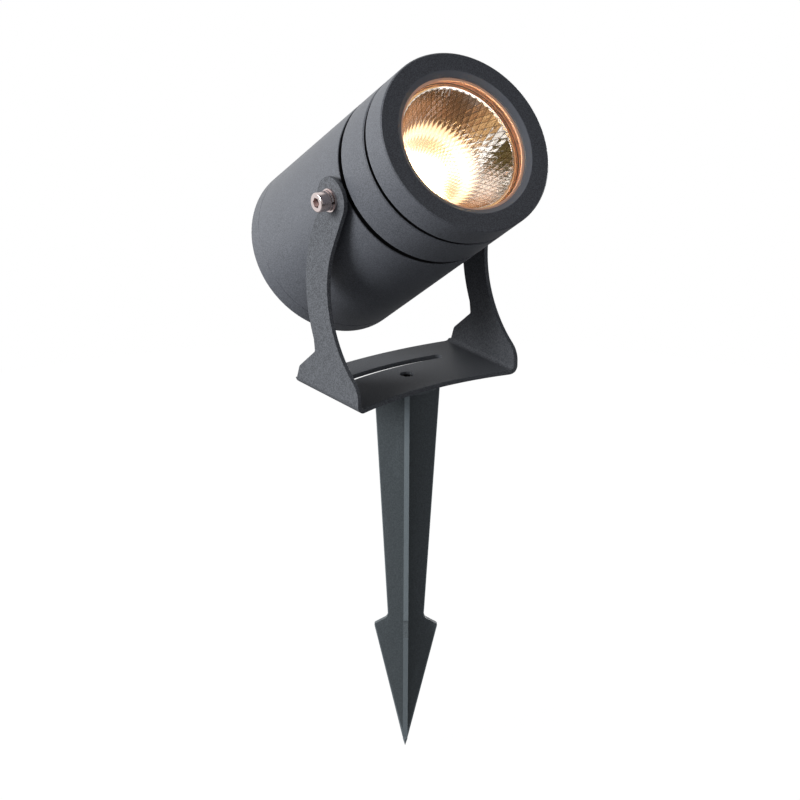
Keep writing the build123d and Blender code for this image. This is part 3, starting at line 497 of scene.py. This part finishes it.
def bowl_metal(settings, lamp_colour):
    """Evaporated metal on the facets, with a faint mist and the lamp's glow deep in the bowl.

    The glow is white round the lamp, golden further out, pale once more and golden at its edge, which has one
    tooth for each column of facets. Its share is the radius, plus the teeth's length times a power of the tooth,
    over the glow's whole reach, where the tooth is twice the distance of the angle, counted in columns, from the
    nearest whole number. What the facets mirror of the glow in each other is a dim bronze. The lattice's rows are
    the logarithm of the radius and its columns the angle, and the metal is painted darker in its grooves as shade,
    where half the rows added to the columns or taken from them come near a whole number, but not on the rolled rim.
    """
    finish = Finish("bowl_metal")
    mist = finish.noise(0.004, 3.0, 0.6)
    ripple = finish.noise(0.0007)
    _, radius, angle = finish.head_place()
    mouth, _, ratio, _, _ = bowl_shape(settings)
    columns = angle * (settings.columns / (2 * math.pi))
    rows = finish.maths("LOGARITHM", radius / mouth, ratio)
    sides = [finish.maths("PINGPONG", count, 0.5) for count in (columns + rows * 0.5, columns - rows * 0.5)]
    diamond = finish.band(finish.maths("MINIMUM", *sides), 0.01, 0.10)
    tooth = 2 * finish.maths("PINGPONG", columns, 0.5)
    reach = settings.glow_reach + settings.glow_teeth
    share = (radius + tooth**0.7 * settings.glow_teeth) / reach
    golden = tuple(part**0.8 for part in lamp_colour)
    glow = finish.ramp(
        share,
        [
            (0.0, WHITE),
            (0.58, (1.0, 0.95, 0.80)),
            (0.66, shade(golden, 0.70)),
            (0.78, shade(golden, 0.60)),
            (0.86, (1.0, 0.90, 0.62)),
            (0.97, shade(golden, 0.80)),
            (1.0, BLACK),
        ],
    )
    glow = finish.blend(finish.ray("Reflection"), glow, finish.blend(share > 1.0, settings.bronze, BLACK))
    metal = finish.blend(finish.band(mist, 0.35, 0.75), settings.colour, shade(settings.colour, 0.88))
    # Painted shade: the metal is darkened in the grooves between the diamonds, but not on the rolled rim.
    metal = finish.blend(finish.maths("MAXIMUM", diamond, radius > mouth), shade(settings.colour, 0.45), metal)
    return finish.surface(
        Base_Color=metal,
        Metallic=1.0,
        Roughness=0.02 + finish.band(mist, 0.5, 0.8) * 0.05,
        Emission_Color=glow,
        Emission_Strength=settings.glow_strength,
        Normal=finish.bump(ripple, 0.000006),
    )


def phosphor(colour, strength):
    """Phosphor over the chips, lit, a little brighter over each chip."""
    finish = Finish("lit_phosphor")
    chips = finish.cells(0.0012)
    glow = finish.blend(finish.band(chips, 0.2, 0.7), colour, shade(colour, 0.8))
    return finish.surface(
        Base_Color=(0.95, 0.75, 0.30), Roughness=0.4, Emission_Color=glow, Emission_Strength=strength
    )


def circuit_board(name, colour, copper=(0.55, 0.30, 0.14), lit=0.0):
    """Solder resist over tracks, with speckled copper at the pads. Round the lamp the resist is lit."""
    finish = Finish(name)
    tracks = finish.cells(0.0035)
    weave = finish.noise(0.0004)
    tone = finish.blend(finish.band(tracks, 0.40, 0.46), shade(colour, 1.35), colour)
    tone = finish.blend(finish.band(tracks, 0.12, 0.10), tone, copper)
    _, radius, _ = finish.head_place()
    unlit = finish.band(radius, emitter_radius + 0.0015, emitter_radius + 0.0030)
    return finish.surface(
        Base_Color=tone,
        Roughness=0.35 + weave * 0.1,
        Emission_Color=finish.blend(unlit, (1.0, 0.88, 0.66), BLACK),
        Emission_Strength=lit,
        Normal=finish.bump(weave, 0.00002),
    )


# ---------------------------------------------------------------- surfaces worked out with numpy
def at_head(radius, angle, ahead):
    """Points at a radius and an angle round the head's axis, a distance ahead of the pivot."""
    across = np.cos(angle)[..., None] * sideways + np.sin(angle)[..., None] * upwards
    return pivot + radius[..., None] * across + ahead[..., None] * forward


def add_mesh(name, points, faces, material, body):
    """Smooth object at the origin from arrays of points and faces, riding on a CAD body."""
    mesh = bpy.data.meshes.new(name)
    mesh.from_pydata(points.reshape(-1, 3), [], faces)
    mesh.polygons.foreach_set("use_smooth", np.full(len(mesh.polygons), True))
    mesh.materials.append(material)
    piece = bpy.data.objects.new(name, mesh)
    bpy.context.scene.collection.objects.link(piece)
    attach(piece, body)
    return piece


def ring_faces(rings, columns):
    """Quads between neighbouring rings of points: each column joins the next, and the last joins the first."""
    here = np.arange(rings - 1)[:, None] * columns
    beyond = here + columns
    column = np.arange(columns)[None, :]
    after = (column + 1) % columns
    quads = np.stack([here + column, here + after, beyond + after, beyond + column], axis=-1)
    return quads.reshape(-1, 4)


def turned_solid(name, profile, columns, material, body):
    """Solid of revolution about the head's axis. profile holds (radius, ahead) from pole to pole on the axis."""
    radius, ahead = np.array(profile, float).T
    angle = np.linspace(0, 2 * math.pi, columns, endpoint=False)
    rings = at_head(radius[1:-1, None], angle[None, :], ahead[1:-1, None]).reshape(-1, 3)
    poles = pivot + ahead[[0, -1], None] * forward
    quads = ring_faces(len(profile) - 2, columns)
    around = np.arange(columns)
    after = (around + 1) % columns
    last = (len(profile) - 3) * columns
    first_cap = np.stack([np.full(columns, len(rings)), after, around], axis=-1)
    last_cap = np.stack([np.full(columns, len(rings) + 1), last + around, last + after], axis=-1)
    faces = quads.tolist() + first_cap.tolist() + last_cap.tolist()
    return add_mesh(name, np.vstack([rings, poles]), faces, material, body)


def reflector_points(settings):
    """Rings of a closed bowl, each turned by half a step against the ring before it.

    The front rings lie on flat diamonds whose corners stand on a paraboloid. Between the corners a point is the
    four corners' mean, weighted by its two shares p and q across the diamond, and it stands out along the
    diamond's normal by bulge * width * (1 - 2 (p - 1/2)^2 - 2 (q - 1/2)^2), a round cap that is cut off by its
    neighbours' caps. Corner rows shrink by one constant ratio, which keeps every diamond flat. The rings behind
    go round the rolled rim, down the back of the bowl and round the foot of the neck, to the first ring again.
    Also returns the two lattice counts of every point, which are whole numbers along the diamonds' sides.
    """
    columns, rows, cuts = settings.columns, settings.rows, settings.cuts
    step = 2 * math.pi / columns
    rim_front, base = reflector_ahead.max(), reflector_ahead.min()
    mouth, throat, ratio, parabola, apex = bowl_shape(settings)

    def corner(p, q):
        """Corner of the lattice: p and q count along the two diagonals."""
        radius = mouth * ratio ** (p - q)
        return at_head(radius, step * (p + q) / 2, apex + radius**2 / parabola)

    ring = np.arange(rows * cuts + 1)[:, None]
    place = np.arange(columns * cuts)[None, :]
    along = ring / cuts
    around = (place + 0.5 * (ring % 2)) / cuts
    p, q = around + along / 2, around - along / 2
    low_p, low_q = np.floor(p + 1e-9), np.floor(q + 1e-9)
    share_p, share_q = p - low_p, q - low_q
    near, right = corner(low_p, low_q + 1), corner(low_p + 1, low_q + 1)
    left, far = corner(low_p, low_q), corner(low_p + 1, low_q)
    share_p, share_q = share_p[..., None], share_q[..., None]
    flat = (1 - share_p) * ((1 - share_q) * left + share_q * near) + share_p * ((1 - share_q) * far + share_q * right)
    normal = np.cross(right - left, near - far)
    width = np.linalg.norm(right - left, axis=-1, keepdims=True)
    normal /= np.linalg.norm(normal, axis=-1, keepdims=True)
    normal *= np.sign(np.sum(normal * (pivot + rim_front * forward - flat), axis=-1, keepdims=True))
    in_glow = mouth * ratio ** (low_p - low_q)[..., None] < settings.glow_reach + settings.glow_teeth
    share_of_width = np.where(in_glow, settings.bulge, settings.outer_bulge)
    bulge = share_of_width * width * (1 - 2 * (share_p - 0.5) ** 2 - 2 * (share_q - 0.5) ** 2)
    inside = along[..., None] > 1.0
    facets = flat + bulge * normal * np.where(inside & (along[..., None] < rows - 1), 1.0, 0.0)

    # Half an ellipse over the rim, a step behind it, then the parabola again, one wall further out
    rim_rings, back_rings = 12, 14
    turn = np.linspace(0, math.pi, rim_rings)
    half_width = settings.rim_width / 2
    rolled = np.stack([mouth + half_width * (1 - np.cos(turn)), rim_front + settings.rim_lip * (np.sin(turn) - 1)], 1)
    ledge = rim_front - settings.rim_height
    outside = np.linspace(mouth, throat, back_rings)
    back = np.stack([outside + settings.wall, np.clip(apex + outside**2 / parabola, base, ledge)], 1)
    step_back = [(mouth + settings.rim_width, ledge)]
    foot = [(throat + settings.wall, base)]
    radius, ahead = np.concatenate([rolled, step_back, back, foot])[::-1].T
    order = np.arange(len(radius))[:, None] + 1
    angle = step / cuts * (place + 0.5 * (order % 2))
    behind = at_head(radius[:, None], angle, ahead[:, None])
    lattice = np.full((2, len(facets) + len(behind), facets.shape[1]), 0.5)
    lattice[:, : len(facets)] = p, q
    return np.concatenate([facets, behind]), lattice


def crease_grooves(mesh, lattice):
    """Marks the edges along the diamonds' sides sharp: both ends share a whole lattice count."""
    ends = np.empty(2 * len(mesh.edges), np.int32)
    mesh.edges.foreach_get("vertices", ends)
    first, second = lattice.reshape(2, -1)[:, ends.reshape(-1, 2)].transpose(2, 0, 1)
    on_side = (np.abs(first - np.round(first)) < 1e-6) & (np.abs(first - second) < 1e-6)
    grooves = mesh.attributes.new("sharp_edge", "BOOLEAN", "EDGE")
    grooves.data.foreach_set("value", on_side.any(axis=0))


def diamond_faces(rings, columns):
    """Diamonds over rings that are turned by half a step in turn, closed through the last ring and the first."""
    ring = np.arange(rings)[:, None]
    column = np.arange(columns)[None, :]
    shift = ring % 2
    left = ring * columns + column
    right = ring * columns + (column + 1) % columns
    before = (ring - 1) % rings * columns + (column + shift) % columns
    beyond = (ring + 1) % rings * columns + (column + shift) % columns
    return np.stack([left, before, right, beyond], axis=-1).reshape(-1, 4)


# ---------------------------------------------------------------- operators
class SPOTLIGHT_OT_head_shell(bpy.types.Operator):
    """Powder coat on the four rings and housings of the head"""

    bl_idname = "spotlight.head_shell"
    bl_label = "Head shell"

    def execute(self, context):
        coat = context.scene.spotlight_coat
        material = powder_coat("anthracite_coat", coat.colour, coat.grain, coat.roughness, 0.5, on_head=True)
        paint(material, "main_housing", "optics_collar", "front_bezel", "rear_cap")
        return {"FINISHED"}


class SPOTLIGHT_OT_yoke(bpy.types.Operator):
    """Powder coat on the bent sheet"""

    bl_idname = "spotlight.yoke"
    bl_label = "Yoke"

    def execute(self, context):
        coat = context.scene.spotlight_coat
        material = powder_coat("sheet_coat", coat.yoke_colour, coat.grain, coat.roughness, 0.08)
        paint(material, "yoke_bracket")
        return {"FINISHED"}


class SPOTLIGHT_OT_spike(bpy.types.Operator):
    """Moulded ground spike"""

    bl_idname = "spotlight.spike"
    bl_label = "Ground spike"

    def execute(self, context):
        material = moulded_plastic("spike_plastic", context.scene.spotlight_spike.colour, on_spike=True)
        paint(material, "ground_spike")
        return {"FINISHED"}


class SPOTLIGHT_OT_fasteners(bpy.types.Operator):
    """Pivot screws, washers, stud and the small screws"""

    bl_idname = "spotlight.fasteners"
    bl_label = "Fasteners"

    def execute(self, context):
        steel = machined_steel("polished_steel", (0.70, 0.60, 0.585), 0.17)
        paint(steel, "pivot_screws", "pivot_washers", "pivot_spring_washers", "rear_cap_screws")
        paint(machined_steel("zinc_plate", (0.62, 0.63, 0.66), 0.3), "led_holder_screws", "driver_screws")
        paint(machined_steel("black_oxide_steel", (0.03, 0.03, 0.03), 0.4), "spike_stud")
        paint(moulded_plastic("washer_plastic", (0.05, 0.05, 0.052)), "friction_washers")
        return {"FINISHED"}


class SPOTLIGHT_OT_glass_and_seals(bpy.types.Operator):
    """Front glass, its two gaskets and the O-rings"""

    bl_idname = "spotlight.glass_and_seals"
    bl_label = "Glass and seals"

    def execute(self, context):
        paint(clear_glass(), "front_glass")
        paint(lit_silicone((0.86, 0.50, 0.34), 0.10), "glass_front_gasket", "glass_rear_gasket")
        paint(soft_rubber("seal_rubber", (0.020, 0.020, 0.021)), "bezel_o_ring", "collar_o_ring", "rear_cap_o_ring")
        return {"FINISHED"}


class SPOTLIGHT_OT_reflector(bpy.types.Operator):
    """Bowl of slightly crowned diamonds with a rolled rim, in place of the flat-faceted one"""

    bl_idname = "spotlight.reflector"
    bl_label = "Reflector"

    def execute(self, context):
        settings = context.scene.spotlight_reflector
        points, lattice = reflector_points(settings)
        faces = diamond_faces(*points.shape[:2])
        material = bowl_metal(settings, context.scene.spotlight_lamp.colour)
        piece = add_mesh("reflector_bowl", points, faces, material, "head")
        crease_grooves(piece.data, lattice)
        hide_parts("faceted_reflector")
        return {"FINISHED"}


class SPOTLIGHT_OT_light_source(bpy.types.Operator):
    """Lit phosphor with a shallow dome, the board, holder and pad under it"""

    bl_idname = "spotlight.light_source"
    bl_label = "Light source"

    def execute(self, context):
        lamp = context.scene.spotlight_lamp
        bottom, top = emitter_ahead.min(), emitter_ahead.max()
        edge = bottom + (top - bottom) * 0.35
        # A quarter of an ellipse from the upright edge's top to the middle, which is the pole
        turn = np.linspace(0, math.pi / 2, 9)[:-1]
        dome = np.stack([emitter_radius * np.cos(turn), edge + (top - edge) * np.sin(turn)], 1)
        profile = [(0, bottom), (emitter_radius, bottom), *dome, (0, top)]
        material = phosphor(lamp.colour, lamp.strength)
        piece = turned_solid("phosphor_dome", profile[::-1], 96, material, "head")
        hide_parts("led_emitter")
        paint(circuit_board("emitter_board", (0.80, 0.80, 0.76), lit=4.0), "led_board")
        paint(moulded_plastic("holder_plastic", (0.72, 0.70, 0.66), 0.0009, 0.4), "led_holder")
        paint(soft_rubber("thermal_silicone", (0.30, 0.33, 0.37)), "thermal_pad")
        return {"FINISHED"}


class SPOTLIGHT_OT_driver(bpy.types.Operator):
    """Driver board, its parts and the tray"""

    bl_idname = "spotlight.driver"
    bl_label = "Driver"

    def execute(self, context):
        paint(circuit_board("driver_laminate", (0.02, 0.11, 0.04)), "driver_board")
        paint(moulded_plastic("tray_plastic", (0.045, 0.045, 0.045)), "driver_tray")
        paint(moulded_plastic("black_epoxy", (0.03, 0.03, 0.03), 0.0004, 0.4), "filter_capacitor", "bridge_rectifier")
        paint(machined_steel("copper_wire", (0.80, 0.38, 0.20), 0.3), "driver_inductor")
        paint(moulded_plastic("terminal_green", (0.06, 0.26, 0.10)), "terminal_block")
        paint(soft_rubber("lead_silicone", (0.55, 0.05, 0.04), 0.45), "led_leads")
        return {"FINISHED"}


class SPOTLIGHT_OT_gland(bpy.types.Operator):
    """Nickel-plated cable gland on the rear cap"""

    bl_idname = "spotlight.gland"
    bl_label = "Cable gland"

    def execute(self, context):
        paint(machined_steel("nickel_plate", (0.66, 0.62, 0.56), 0.28), "gland_body", "gland_nut", "gland_locknut")
        paint(soft_rubber("gland_rubber", (0.022, 0.022, 0.022)), "gland_bush", "gland_sealing_washer")
        return {"FINISHED"}


# ---------------------------------------------------------------- studio
def look_frame(azimuth, elevation, roll):
    """Right, up and back of a camera that stands at an azimuth and elevation."""
    back = Vector(
        (
            math.sin(azimuth) * math.cos(elevation),
            -math.cos(azimuth) * math.cos(elevation),
            math.sin(elevation),
        )
    )
    level = Vector((math.cos(azimuth), math.sin(azimuth), 0))
    right_angle = back.cross(level)
    right = level * math.cos(roll) + right_angle * math.sin(roll)
    return right, back.cross(right), back


def place_camera(scene, stage):
    """Camera at the photograph's place and viewing angle."""
    right, up, back = look_frame(stage.azimuth, stage.elevation, stage.roll)
    camera = bpy.data.objects.new("camera", bpy.data.cameras.new("camera"))
    camera.data.lens = stage.lens
    camera.data.sensor_width = 36
    camera.data.clip_start = 0.05
    camera.matrix_world = Matrix.Translation(Vector(stage.aim) + back * stage.distance) @ Matrix(
        (right, up, back)
    ).transposed().to_4x4()
    scene.collection.objects.link(camera)
    scene.camera = camera


def soft_box(scene, name, direction, distance, size, power, colour):
    """Square area light that looks at the middle of the bracket from a direction and a distance."""
    lamp = bpy.data.lights.new(name, "AREA")
    lamp.shape, lamp.size, lamp.energy, lamp.color = "SQUARE", size, power, colour
    holder = bpy.data.objects.new(name, lamp)
    direction = Vector(direction).normalized()
    turn = direction.to_track_quat("Z", "Y").to_matrix().to_4x4()
    bracket_middle = Vector((0, 0, 0.06))
    holder.matrix_world = Matrix.Translation(bracket_middle + direction * distance) @ turn
    scene.collection.objects.link(holder)


class StudioFinish(Finish):
    """A stage material or the world, which starts without the Principled shader."""

    def __init__(self, name, world=False):
        self.material = bpy.data.worlds.new(name) if world else bpy.data.materials.new(name)
        self.material.use_nodes = True
        self.tree = self.material.node_tree
        self.tree.nodes.clear()
        self.end = self.tree.nodes.new("ShaderNodeOutputWorld" if world else "ShaderNodeOutputMaterial")

    def seen(self):
        """1 for the rays that show the background: from the camera, or through glass."""
        return self.maths("MAXIMUM", self.ray("Camera"), self.ray("Transmission"))


def build_world(scene, stage):
    """White to the camera, and white behind the object to what mirrors or is seen through glass.

    In front of it, polished surfaces mirror a dim brown, and rays through the glass see a room, which the bowl
    mirrors. From the floor up the room is olive, a white band at the horizon, then dim brown, with golden slats to
    the right, the sine of the height and a little of the east, and a white window before them. The light on dull
    surfaces is plain and bluish, less from the right and half as bright from above.
    """
    finish = StudioFinish("studio_world", world=True)
    direction = finish.node("ShaderNodeTexCoord", output="Generated")
    east, north, height = (finish.node("ShaderNodeSeparateXYZ", None, {0: direction}, part) for part in "XYZ")
    backdrop = finish.band(north, -0.1, 0.5)
    brown, olive, pale = (0.19, 0.095, 0.048), (0.13, 0.10, 0.035), (1.4, 1.37, 1.35)
    stops = [(0.0, olive), (0.435, olive), (0.445, pale), (0.60, pale), (0.62, brown), (1.0, brown)]
    room = finish.ramp((height + 1) * 0.5, stops)
    slats = finish.band(finish.maths("SINE", height * 75 + east * 12), -0.3, 0.7)
    gold = finish.blend(finish.band(height, 0.65, 0.95), (1.10, 0.68, 0.32), (0.66, 0.33, 0.15))
    gold = finish.blend(slats, finish.blend(0.45, gold, brown), gold)
    room = finish.blend(finish.band(east, 0.02, 0.16) * finish.band(height, 0.26, 0.32), room, gold)
    window = finish.band(east, -0.10, 0.0) * finish.band(east, 0.57, 0.52)
    window = window * finish.band(height, 0.40, 0.45) * finish.band(height, 0.76, 0.70)
    room = finish.blend(window, room, pale)
    through_glass = finish.blend(backdrop, room, WHITE)
    mirrored = finish.blend(backdrop, (0.05, 0.042, 0.036), WHITE)
    ambient = (stage.ambient, stage.ambient * 1.02, stage.ambient * 1.16)
    plain = finish.blend(finish.band(east, -0.9, 0.9), shade(ambient, 1.1), shade(ambient, 0.8))
    plain = finish.blend(finish.band(height, 0.2, 0.9) * 0.5, plain, BLACK)
    light = finish.blend(finish.ray("Glossy"), plain, mirrored)
    light = finish.blend(finish.ray("Transmission"), light, through_glass)
    colour = finish.blend(finish.ray("Camera"), light, WHITE)
    shader = finish.node("ShaderNodeBackground", None, {"Color": colour, "Strength": 1.0})
    finish.tree.links.new(shader.socket, finish.end.inputs["Surface"])
    scene.world = finish.material


def build_floor(stage):
    """Round pale floor under the spike's tip. The camera sees it white, with the object's faint shadow."""
    finish = StudioFinish("pale_floor")
    lit = finish.node("ShaderNodeBsdfDiffuse", None, {"Color": (0.25, 0.25, 0.25)})
    white = finish.node("ShaderNodeEmission", None, {"Color": WHITE, "Strength": 1.10})
    shader = finish.node("ShaderNodeMixShader", None, {0: finish.seen() * 0.9, 1: lit, 2: white})
    finish.tree.links.new(shader.socket, finish.end.inputs["Surface"])
    sides, gap = 96, 0.0005
    turn = np.linspace(0, 2 * math.pi, sides, endpoint=False)
    height = np.full(sides, cad_box[0][2] - gap)
    rim = np.stack([np.cos(turn) * stage.floor_radius, np.sin(turn) * stage.floor_radius, height], 1)
    mesh = bpy.data.meshes.new("floor")
    mesh.from_pydata(rim, [], [tuple(range(sides))])
    mesh.materials.append(finish.material)
    floor = bpy.data.objects.new("floor", mesh)
    bpy.context.scene.collection.objects.link(floor)


class SPOTLIGHT_OT_stage(bpy.types.Operator):
    """Camera, soft lights, pale floor and backdrop"""

    bl_idname = "spotlight.stage"
    bl_label = "Stage"

    def execute(self, context):
        scene = context.scene
        stage = scene.spotlight_stage
        scene.view_settings.view_transform = "Standard"
        place_camera(scene, stage)
        soft_box(scene, "key_light", (-0.88, 0.22, 0.36), 1.2, 0.6, stage.key_power, (0.97, 0.97, 1.0))
        soft_box(scene, "fill_light", (0.25, -0.92, 0.30), 1.3, 0.9, stage.fill_power, (0.97, 0.98, 1.0))
        soft_box(scene, "rear_light", (0.92, 0.38, -0.05), 1.3, 0.5, stage.rear_power, (0.97, 0.98, 1.0))
        build_world(scene, stage)
        build_floor(stage)
        return {"FINISHED"}


# ---------------------------------------------------------------- panel and registration
OPERATORS = (
    SPOTLIGHT_OT_head_shell,
    SPOTLIGHT_OT_yoke,
    SPOTLIGHT_OT_spike,
    SPOTLIGHT_OT_fasteners,
    SPOTLIGHT_OT_glass_and_seals,
    SPOTLIGHT_OT_reflector,
    SPOTLIGHT_OT_light_source,
    SPOTLIGHT_OT_driver,
    SPOTLIGHT_OT_gland,
    SPOTLIGHT_OT_stage,
)
SETTINGS = {
    "spotlight_coat": CoatSettings,
    "spotlight_spike": SpikeSettings,
    "spotlight_reflector": ReflectorSettings,
    "spotlight_lamp": LampSettings,
    "spotlight_stage": StageSettings,
}


class SPOTLIGHT_PT_panel(bpy.types.Panel):
    """Sizes, colours and pieces of the spotlight"""

    bl_label = "Garden Spike Spotlight"
    bl_space_type = "VIEW_3D"
    bl_region_type = "UI"
    bl_category = "Spotlight"

    def draw(self, context):
        for name, group in SETTINGS.items():
            box = self.layout.box()
            for key in group.__annotations__:
                box.prop(getattr(context.scene, name), key)
        for operator in OPERATORS:
            self.layout.operator(operator.bl_idname)


def register():
    for group in SETTINGS.values():
        bpy.utils.register_class(group)
    for name, group in SETTINGS.items():
        setattr(bpy.types.Scene, name, PointerProperty(type=group))
    for cls in (*OPERATORS, SPOTLIGHT_PT_panel):
        bpy.utils.register_class(cls)


def unregister():
    for cls in (SPOTLIGHT_PT_panel, *reversed(OPERATORS)):
        bpy.utils.unregister_class(cls)
    for name, group in SETTINGS.items():
        delattr(bpy.types.Scene, name)
        bpy.utils.unregister_class(group)


def main():
    register()
    for operator in OPERATORS:
        group, name = operator.bl_idname.split(".")
        getattr(getattr(bpy.ops, group), name)()


if __name__ == "__main__":
    main()
